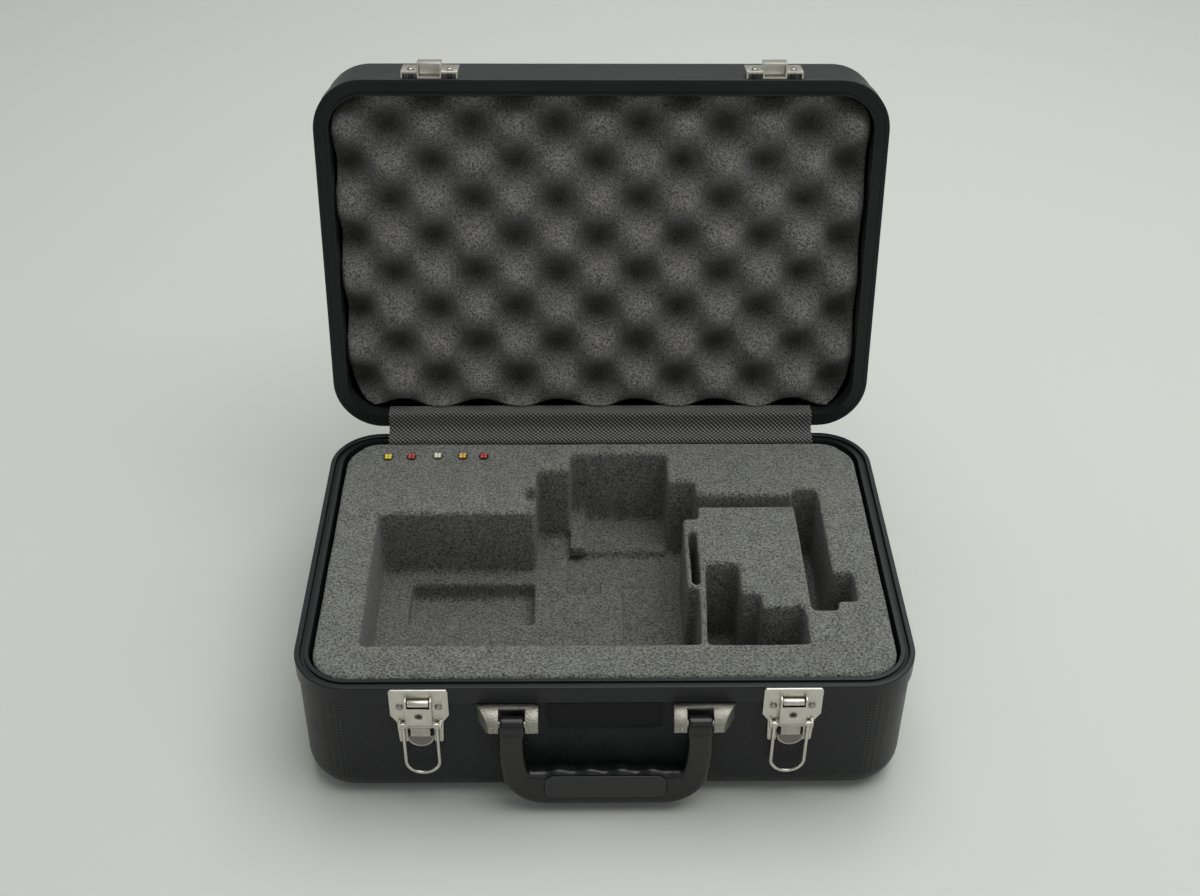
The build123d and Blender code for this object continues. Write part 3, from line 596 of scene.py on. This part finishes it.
def make_pebble_lattice():
    """Small domes in diagonal rows, on whichever wall the surface is, with a painted highlight on their
    crowns.
    """
    tree, start, end = new_effect(
        "Pebble Lattice",
        [("Vector", "NodeSocketVector", None)],
        [("Crown Highlight", "NodeSocketFloat"), ("Height", "NodeSocketFloat")],
    )
    parts = add_node(tree, "ShaderNodeSeparateXYZ")
    feed(tree, start.outputs["Vector"], parts.inputs[0])
    waves = [reckon(tree, "COSINE", times(tree, axis, 2 * pi)) for axis in parts.outputs]
    pairs = [times(tree, waves[a], waves[b]) for a, b in ((0, 2), (1, 2), (0, 1))]
    total = plus(tree, plus(tree, pairs[0], pairs[1]), pairs[2])
    dome = spread(tree, total, -0.25, 1.0)
    feed(tree, dome, end.inputs["Crown Highlight"])
    feed(tree, reckon(tree, "POWER", dome, 0.6), end.inputs["Height"])
    return tree


def make_handling_marks():
    """Faint scuffs and dust that break up a plain surface."""
    tree, start, end = new_effect(
        "Handling Marks",
        [("Vector", "NodeSocketVector", None), ("Scale", "NodeSocketFloat", 30.0)],
        [("Dust", "NodeSocketFloat"), ("Scuffs", "NodeSocketFloat")],
    )
    broad = noise_field(tree, start.outputs["Vector"], start.outputs["Scale"], 5.0, 0.65)
    feed(tree, spread(tree, broad, 0.42, 0.72), end.inputs["Dust"])
    stretched = add_node(tree, "ShaderNodeMapping")
    feed(tree, start.outputs["Vector"], stretched.inputs["Vector"])
    stretched.inputs["Scale"].default_value = (1.0, 1.0, 9.0)
    stretched.inputs["Rotation"].default_value = (0.35, 0.2, 0.5)
    fine = noise_field(tree, stretched.outputs[0], times(tree, start.outputs["Scale"], 9.0), 4.0, 0.7)
    feed(tree, spread(tree, fine, 0.58, 0.72), end.inputs["Scuffs"])
    return tree


def make_metal_grain():
    """Fine speckle of a satin plated or cast surface."""
    tree, start, end = new_effect(
        "Metal Grain",
        [("Vector", "NodeSocketVector", None), ("Scale", "NodeSocketFloat", 1500.0)],
        [("Speckle", "NodeSocketFloat"), ("Height", "NodeSocketFloat")],
    )
    fine = noise_field(tree, start.outputs["Vector"], start.outputs["Scale"], 3.0, 0.6)
    broad = noise_field(tree, start.outputs["Vector"], times(tree, start.outputs["Scale"], 0.12), 2.0)
    feed(tree, fine, end.inputs["Height"])
    feed(tree, plus(tree, times(tree, fine, 0.6), times(tree, broad, 0.4)), end.inputs["Speckle"])
    return tree


def make_twill():
    """Twill cloth: raised diagonal ribs broken by the crossing threads."""
    tree, start, end = new_effect(
        "Twill",
        [("Vector", "NodeSocketVector", None), ("Pitch", "NodeSocketFloat", 0.0035)],
        [("Rib", "NodeSocketFloat"), ("Height", "NodeSocketFloat")],
    )
    parts = add_node(tree, "ShaderNodeSeparateXYZ")
    feed(tree, start.outputs["Vector"], parts.inputs[0])
    across = reckon(tree, "DIVIDE", parts.outputs["X"], start.outputs["Pitch"])
    along = reckon(tree, "DIVIDE", parts.outputs["Y"], start.outputs["Pitch"])
    diagonal = reckon(tree, "SINE", times(tree, plus(tree, across, along), 2 * pi))
    crossing = reckon(tree, "SINE", times(tree, reckon(tree, "SUBTRACT", across, along), 2 * pi))
    rib = spread(tree, plus(tree, diagonal, times(tree, crossing, 0.6)), -0.1, 1.2)
    feed(tree, rib, end.inputs["Rib"])
    feed(tree, rib, end.inputs["Height"])
    return tree


EFFECTS = {}


def effect(tree, name, vector, **values):
    """One of the shared effects, placed in a material."""
    node = add_node(tree, "ShaderNodeGroup", node_tree=EFFECTS[name])
    feed(tree, vector, node.inputs["Vector"])
    for label, value in values.items():
        feed(tree, value, node.inputs[label])
    return node


# ---------------------------------------------------------------- finishes

FINISHES = {}


def new_finish(name):
    material = bpy.data.materials.new(name)
    material.use_nodes = True
    tree = material.node_tree
    shader = tree.nodes["Principled BSDF"]
    place = add_node(tree, "ShaderNodeTexCoord").outputs["Object"]
    FINISHES[name] = material
    return tree, shader, place


def tint(tree, shade, dark, light):
    """A colour between two, by a value that changes over the surface."""
    node = add_node(tree, "ShaderNodeMix", data_type="RGBA")
    feed(tree, shade, node.inputs[0])
    node.inputs[6].default_value = (*dark, 1.0)
    node.inputs[7].default_value = (*light, 1.0)
    return node.outputs[2]


def scaled(base, factor):
    return tuple(min(1.0, part * factor) for part in base)


def shaded(tree, shader, shade, base, darkest, lightest):
    """Base colour that runs from a darker to a lighter tone of one colour."""
    feed(tree, tint(tree, shade, scaled(base, darkest), scaled(base, lightest)), shader.inputs["Base Color"])


def roughened(tree, shader, value, smooth, rough, low=0.0, high=1.0):
    """Roughness that follows a value over the surface."""
    feed(tree, spread(tree, value, low, high, smooth, rough), shader.inputs["Roughness"])


def bumped(tree, shader, height, distance, strength=1.0):
    node = add_node(tree, "ShaderNodeBump")
    node.inputs["Distance"].default_value = distance
    node.inputs["Strength"].default_value = strength
    feed(tree, height, node.inputs["Height"])
    feed(tree, node.outputs[0], shader.inputs["Normal"])


def turned(tree, vector, scale, turn=0.0, location=(0.0, 0.0, 0.0)):
    """Coordinates scaled, and turned about X."""
    node = add_node(tree, "ShaderNodeMapping")
    feed(tree, vector, node.inputs["Vector"])
    node.inputs["Scale"].default_value = scale
    node.inputs["Rotation"].default_value = (turn, 0.0, 0.0)
    node.inputs["Location"].default_value = location
    return node.outputs[0]


def with_painted_shade(tree, shade, hollows):
    """Painted shade: the colour falls where an attribute marks a hollow, a well or a recess."""
    mark = add_node(tree, "ShaderNodeAttribute", attribute_name="Painted Shade")
    return times(tree, shade, spread(tree, mark.outputs["Fac"], 0.05, 0.95, 1.0, 1.0 - hollows))


def foam_finish(name, base, scale, contrast, bump, hollows=0.0):
    """Open-cell foam, with painted shade where an attribute marks a hollow or a deep well."""
    tree, shader, place = new_finish(name)
    cells = effect(tree, "foam", place, Scale=scale)
    shade = cells.outputs["Shade"]
    if hollows:
        shade = with_painted_shade(tree, shade, hollows)
    shaded(tree, shader, shade, base, 1 - contrast, 1 + contrast)
    shader.inputs["Roughness"].default_value = 0.95
    shader.inputs["Specular IOR Level"].default_value = 0.12
    shader.inputs["Sheen Weight"].default_value = 0.25
    shader.inputs["Sheen Roughness"].default_value = 0.6
    bumped(tree, shader, cells.outputs["Height"], bump)


def shell_finish(name, base, lid):
    """Moulded shell, with the lattice set out in the closed case's directions."""
    tree, shader, place = new_finish(name)
    closed = place
    if lid:
        closed = turned(tree, place, (1.0, 1.0, 1.0), OPEN_TURN, OPEN_TO_CLOSED.to_translation())
    # A whole number of rows and three quarters out to each wall, so that on a wall only the lattice of its own
    # two directions shows.
    walls = (0.2085, 0.1375, 0.1794)
    rows = (69.75, 45.75, 59.75)
    per_metre = tuple(count / reach for count, reach in zip(rows, walls))
    lattice = effect(tree, "pebble", turned(tree, closed, per_metre))
    marks = effect(tree, "marks", place, Scale=26.0)
    # Painted highlight: the base colour is lighter on the pebble crowns; the dust is real.
    shade = reckon(tree, "ADD", lattice.outputs["Crown Highlight"], times(tree, marks.outputs["Dust"], 0.3), clamp=True)
    shaded(tree, shader, shade, base, 0.1, 3.0)
    roughened(tree, shader, marks.outputs["Dust"], 0.34, 0.48)
    shader.inputs["Specular IOR Level"].default_value = 0.32
    bumped(tree, shader, lattice.outputs["Height"], 0.0005)


def valance_finish(name, base):
    """Satin black section with faint lines along its length."""
    tree, shader, place = new_finish(name)
    marks = effect(tree, "marks", place, Scale=22.0)
    drawn = noise_field(tree, turned(tree, place, (6.0, 6.0, 1800.0)), 1.0, 3.0)
    shade = plus(tree, times(tree, drawn, 0.5), times(tree, marks.outputs["Dust"], 0.35))
    shaded(tree, shader, shade, base, 0.7, 1.5)
    roughened(tree, shader, marks.outputs["Dust"], 0.3, 0.42)
    shader.inputs["Specular IOR Level"].default_value = 0.3
    bumped(tree, shader, plus(tree, drawn, times(tree, marks.outputs["Scuffs"], 0.3)), 0.00006)


def plain_finish(name, base, roughness, bump=0.00006, scale=900.0, dust=0.3, gloss=0.3):
    """Moulded plastic or rubber with a fine skin grain."""
    tree, shader, place = new_finish(name)
    marks = effect(tree, "marks", place, Scale=28.0)
    grain = effect(tree, "metal", place, Scale=scale)
    shade = plus(tree, times(tree, grain.outputs["Speckle"], 0.5), times(tree, marks.outputs["Dust"], dust))
    shaded(tree, shader, shade, base, 0.7, 1.6)
    roughened(tree, shader, marks.outputs["Dust"], roughness - 0.05, roughness + 0.1)
    shader.inputs["Specular IOR Level"].default_value = gloss
    bumped(tree, shader, grain.outputs["Height"], bump)


def metal_finish(name, base, roughness, scale, bump, contrast=0.25, hollows=0.0):
    tree, shader, place = new_finish(name)
    grain = effect(tree, "metal", place, Scale=scale)
    marks = effect(tree, "marks", place, Scale=60.0)
    worn = times(tree, marks.outputs["Scuffs"], 0.3)
    shade = reckon(tree, "SUBTRACT", grain.outputs["Speckle"], worn, clamp=True)
    darkest = 1 - contrast
    # Painted shade: where the attribute marks the thumb hollow, the colour falls to the darkness the hollows
    # argument gives.
    if hollows:
        shade = with_painted_shade(tree, shade, 1.0)
        darkest = 1 - hollows
    shaded(tree, shader, shade, base, darkest, 1 + contrast)
    shader.inputs["Metallic"].default_value = 1.0
    roughened(tree, shader, grain.outputs["Speckle"], roughness - 0.07, roughness + 0.09, 0.3, 0.7)
    bumped(tree, shader, grain.outputs["Height"], bump)


def fabric_finish(name, base):
    tree, shader, _ = new_finish(name)
    weave_place = add_node(tree, "ShaderNodeUVMap", uv_map="Cloth").outputs["UV"]
    weave = effect(tree, "twill", weave_place)
    shaded(tree, shader, weave.outputs["Rib"], base, 0.05, 3.6)
    shader.inputs["Roughness"].default_value = 0.8
    shader.inputs["Sheen Weight"].default_value = 0.3
    bumped(tree, shader, weave.outputs["Height"], 0.0004)


def bead_finish(name, base):
    tree, shader, place = new_finish(name)
    depth = noise_field(tree, place, 420.0, 2.0)
    height = add_node(tree, "ShaderNodeSeparateXYZ")
    feed(tree, place, height.inputs[0])
    peg_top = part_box("foam_top_sheet")[1].z
    # Darker towards the bottom: the peg's own darker tone, with painted shade low between the beads.
    crown_tone_and_shade = spread(tree, height.outputs["Z"], peg_top + 0.0002, peg_top + 0.0011)
    shade = times(tree, crown_tone_and_shade, spread(tree, depth, 0.3, 0.7, 0.6, 1.0))
    shaded(tree, shader, shade, base, 0.08, 1.3)
    shader.inputs["Roughness"].default_value = 0.12
    shader.inputs["Coat Weight"].default_value = 1.0
    shader.inputs["Coat Roughness"].default_value = 0.04
    bumped(tree, shader, depth, 0.0003)


def make_finishes(colours):
    EFFECTS.update(
        foam=make_foam_cells(),
        pebble=make_pebble_lattice(),
        marks=make_handling_marks(),
        metal=make_metal_grain(),
        twill=make_twill(),
    )
    # The foam finishes paint shade in the marked wells and hollows; the hollows argument sets how dark.
    foam_finish("insert_foam", colours.insert_foam, 580.0, 1.0, 0.0009, hollows=0.25)
    foam_finish("pad_foam", colours.pad_foam, 620.0, 1.0, 0.0012, hollows=0.7)
    shell_finish("shell_base", colours.shell, lid=False)
    shell_finish("shell_lid", colours.shell, lid=True)
    valance_finish("valance", colours.valance)
    plain_finish("gasket", colours.gasket, 0.6)
    plain_finish("handle", scaled(colours.handle, 0.7), 0.27, dust=0.4, gloss=0.42)
    plain_finish("grip", scaled(colours.handle, 1.1), 0.36, bump=0.0001, scale=1400.0, dust=0.4, gloss=0.5)
    plain_finish("label", colours.label, 0.42, gloss=0.15)
    metal_finish("nickel", colours.nickel, 0.34, 1500.0, 0.00012)
    # The lever's nickel paints shade into its marked thumb hollow.
    metal_finish("lever_nickel", scaled(colours.nickel, 1.1), 0.34, 1500.0, 0.00012, hollows=0.72)
    metal_finish("cast_nickel", colours.cast_nickel, 0.36, 900.0, 0.0005, 0.5)
    metal_finish("wire", colours.nickel, 0.2, 1500.0, 0.00002, 0.1)
    metal_finish("steel", colours.steel, 0.32, 1500.0, 0.00005)
    metal_finish("rivet", scaled(colours.nickel, 0.55), 0.25, 1500.0, 0.00006)
    metal_finish("lock", scaled(colours.steel, 0.22), 0.3, 1500.0, 0.00006)
    fabric_finish("fabric", colours.fabric)
    bead_finish("bead_yellow", (0.75, 0.6, 0.05))
    bead_finish("bead_red", (0.4, 0.03, 0.025))
    bead_finish("bead_clear", (0.75, 0.75, 0.6))
    bead_finish("bead_amber", (0.7, 0.42, 0.06))


def dress(piece, finish):
    """Puts a finish on every slot of a piece."""
    if not piece.material_slots:
        piece.data.materials.append(None)
    for place in piece.material_slots:
        place.material = FINISHES[finish]


CAD_FINISHES = {
    "shell_base": ["base_shell"],
    "shell_lid": ["lid_shell"],
    "valance": ["base_valance", "lid_valance"],
    "gasket": ["rim_gasket"],
    "bead_yellow": ["marker_yellow"],
    "bead_red": ["marker_red_left", "marker_red_right"],
    "bead_clear": ["marker_clear"],
    "bead_amber": ["marker_amber"],
    "wire": ["latch_bail_left", "latch_bail_right", "lever_pin_left", "lever_pin_right"],
    "nickel": ["handle_pin_left", "handle_pin_right"],
    "rivet": ["latch_rivets", "keeper_rivets"],
    "lock": ["lock_barrel_left", "lock_barrel_right"],
    "steel": [
        "hinge_leaf_base", "hinge_leaf_lid", "hinge_pin", "hinge_stop_left", "hinge_stop_right",
        "base_hinge_rivets", "lid_hinge_rivets", "handle_screws", "handle_backing_strip",
    ],
}


def dress_frame():
    for finish, names in CAD_FINISHES.items():
        for name in names:
            dress(NODES[name], finish)


# ---------------------------------------------------------------- stage


def soft_light(name, place, target, size, power):
    lamp = bpy.data.lights.new(name, "AREA")
    lamp.shape = "RECTANGLE"
    lamp.size, lamp.size_y = size
    lamp.energy = power
    stand = bpy.data.objects.new(name, lamp)
    stand.location = place
    stand.rotation_euler = (Vector(target) - Vector(place)).to_track_quat("-Z", "Y").to_euler()
    bpy.context.scene.collection.objects.link(stand)


def build_stage(settings):
    bm = bmesh.new()
    bmesh.ops.create_grid(bm, x_segments=1, y_segments=1, size=9.0)
    bmesh.ops.translate(bm, verts=bm.verts, vec=(0, 0, -0.0003))
    mesh = bpy.data.meshes.new("floor")
    bm.to_mesh(mesh)
    bm.free()
    floor = bpy.data.objects.new("floor", mesh)
    bpy.context.scene.collection.objects.link(floor)
    tree, shader, place = new_finish("floor")
    cloud = noise_field(tree, place, 1.2, 2.0)
    shaded(tree, shader, cloud, settings.floor, 0.98, 1.02)
    shader.inputs["Roughness"].default_value = 0.85
    shader.inputs["Specular IOR Level"].default_value = 0.2
    dress(floor, "floor")

    soft_light("key", (0.45, 0.2, 2.2), (0, 0.05, 0.1), (2.6, 2.0), settings.key_power)
    soft_light("back", (0.2, 2.4, 1.9), (0, 0.1, 0.2), (2.6, 1.2), settings.back_power)
    soft_light("fill", (0.5, -2.2, 1.3), (0, 0, 0.15), (1.6, 1.0), settings.fill_power)
    world = bpy.data.worlds.new("room")
    world.use_nodes = True
    ground = world.node_tree.nodes["Background"]
    ground.inputs["Color"].default_value = (0.97, 1.0, 0.98, 1.0)
    ground.inputs["Strength"].default_value = settings.sky
    bpy.context.scene.world = world

    pitch, yaw, roll = settings.camera_pitch, settings.camera_yaw, settings.camera_roll
    forward = Vector((sin(yaw) * cos(pitch), cos(yaw) * cos(pitch), -sin(pitch)))
    level = Vector((cos(yaw), -sin(yaw), 0))
    upright = level.cross(forward)
    right = level * cos(roll) + upright * sin(roll)
    up = upright * cos(roll) - level * sin(roll)
    turn = Matrix((right, up, -forward)).transposed()
    bpy.context.scene.view_settings.view_transform = "Standard"
    lens = bpy.data.cameras.new("camera")
    lens.sensor_width = 36.0
    lens.lens = settings.lens
    lens.clip_end = 50.0
    camera = bpy.data.objects.new("camera", lens)
    camera.matrix_world = Matrix.Translation(settings.camera_place) @ turn.to_4x4()
    bpy.context.scene.collection.objects.link(camera)
    bpy.context.scene.camera = camera


# ---------------------------------------------------------------- operators


class CASE_OT_finishes(bpy.types.Operator):
    """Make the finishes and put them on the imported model's own pieces"""

    bl_idname = "case.finishes"
    bl_label = "Finishes"

    def execute(self, context):
        make_finishes(context.scene.case_finishes)
        dress_frame()
        return {"FINISHED"}


class CASE_OT_insert(bpy.types.Operator):
    """Build the soft foam insert in the base"""

    bl_idname = "case.insert"
    bl_label = "Foam Insert"

    def execute(self, context):
        build_insert(context.scene.case_foam)
        return {"FINISHED"}


class CASE_OT_pad(bpy.types.Operator):
    """Build the egg-crate pad in the lid"""

    bl_idname = "case.pad"
    bl_label = "Egg-Crate Pad"

    def execute(self, context):
        build_pad(context.scene.case_foam)
        return {"FINISHED"}


class CASE_OT_strip(bpy.types.Operator):
    """Build the fabric strip over the hinge"""

    bl_idname = "case.strip"
    bl_label = "Hinge Fabric"

    def execute(self, context):
        build_strip(context.scene.case_foam)
        return {"FINISHED"}


class CASE_OT_handle(bpy.types.Operator):
    """Build the moulded handle and its grip insert"""

    bl_idname = "case.handle"
    bl_label = "Handle"

    def execute(self, context):
        build_handle(context.scene.case_handle)
        return {"FINISHED"}


class CASE_OT_fittings(bpy.types.Operator):
    """Build the latches, keepers, brackets and name plate with eased edges"""

    bl_idname = "case.fittings"
    bl_label = "Fittings"

    def execute(self, context):
        build_fittings(context.scene.case_fittings)
        return {"FINISHED"}


class CASE_OT_stage(bpy.types.Operator):
    """Set out the floor, the lights and the camera"""

    bl_idname = "case.stage"
    bl_label = "Stage"

    def execute(self, context):
        build_stage(context.scene.case_stage)
        return {"FINISHED"}


class CASE_PT_panel(bpy.types.Panel):
    """Lists the build steps and their settings"""

    bl_label = "Instrument Case"
    bl_idname = "CASE_PT_panel"
    bl_space_type = "VIEW_3D"
    bl_region_type = "UI"
    bl_category = "Case"

    def draw(self, context):
        for operator, group in STEPS:
            self.layout.operator(operator)
            settings = getattr(context.scene, group)
            for name in settings.bl_rna.properties.keys():
                if name not in ("rna_type", "name"):
                    self.layout.prop(settings, name)


STEPS = (
    ("case.finishes", "case_finishes"),
    ("case.insert", "case_foam"),
    ("case.pad", "case_foam"),
    ("case.strip", "case_foam"),
    ("case.handle", "case_handle"),
    ("case.fittings", "case_fittings"),
    ("case.stage", "case_stage"),
)
GROUPS = {
    "case_foam": FoamSettings,
    "case_handle": HandleSettings,
    "case_fittings": FittingSettings,
    "case_finishes": FinishSettings,
    "case_stage": StageSettings,
}
CLASSES = (
    *GROUPS.values(),
    CASE_OT_finishes,
    CASE_OT_insert,
    CASE_OT_pad,
    CASE_OT_strip,
    CASE_OT_handle,
    CASE_OT_fittings,
    CASE_OT_stage,
    CASE_PT_panel,
)


def register():
    for item in CLASSES:
        bpy.utils.register_class(item)
    for name, group in GROUPS.items():
        setattr(bpy.types.Scene, name, PointerProperty(type=group))


def unregister():
    for name in GROUPS:
        delattr(bpy.types.Scene, name)
    for item in reversed(CLASSES):
        bpy.utils.unregister_class(item)


def main():
    register()
    bpy.ops.case.finishes()
    bpy.ops.case.insert()
    bpy.ops.case.pad()
    bpy.ops.case.strip()
    bpy.ops.case.handle()
    bpy.ops.case.fittings()
    bpy.ops.case.stage()


if __name__ == "__main__":
    main()
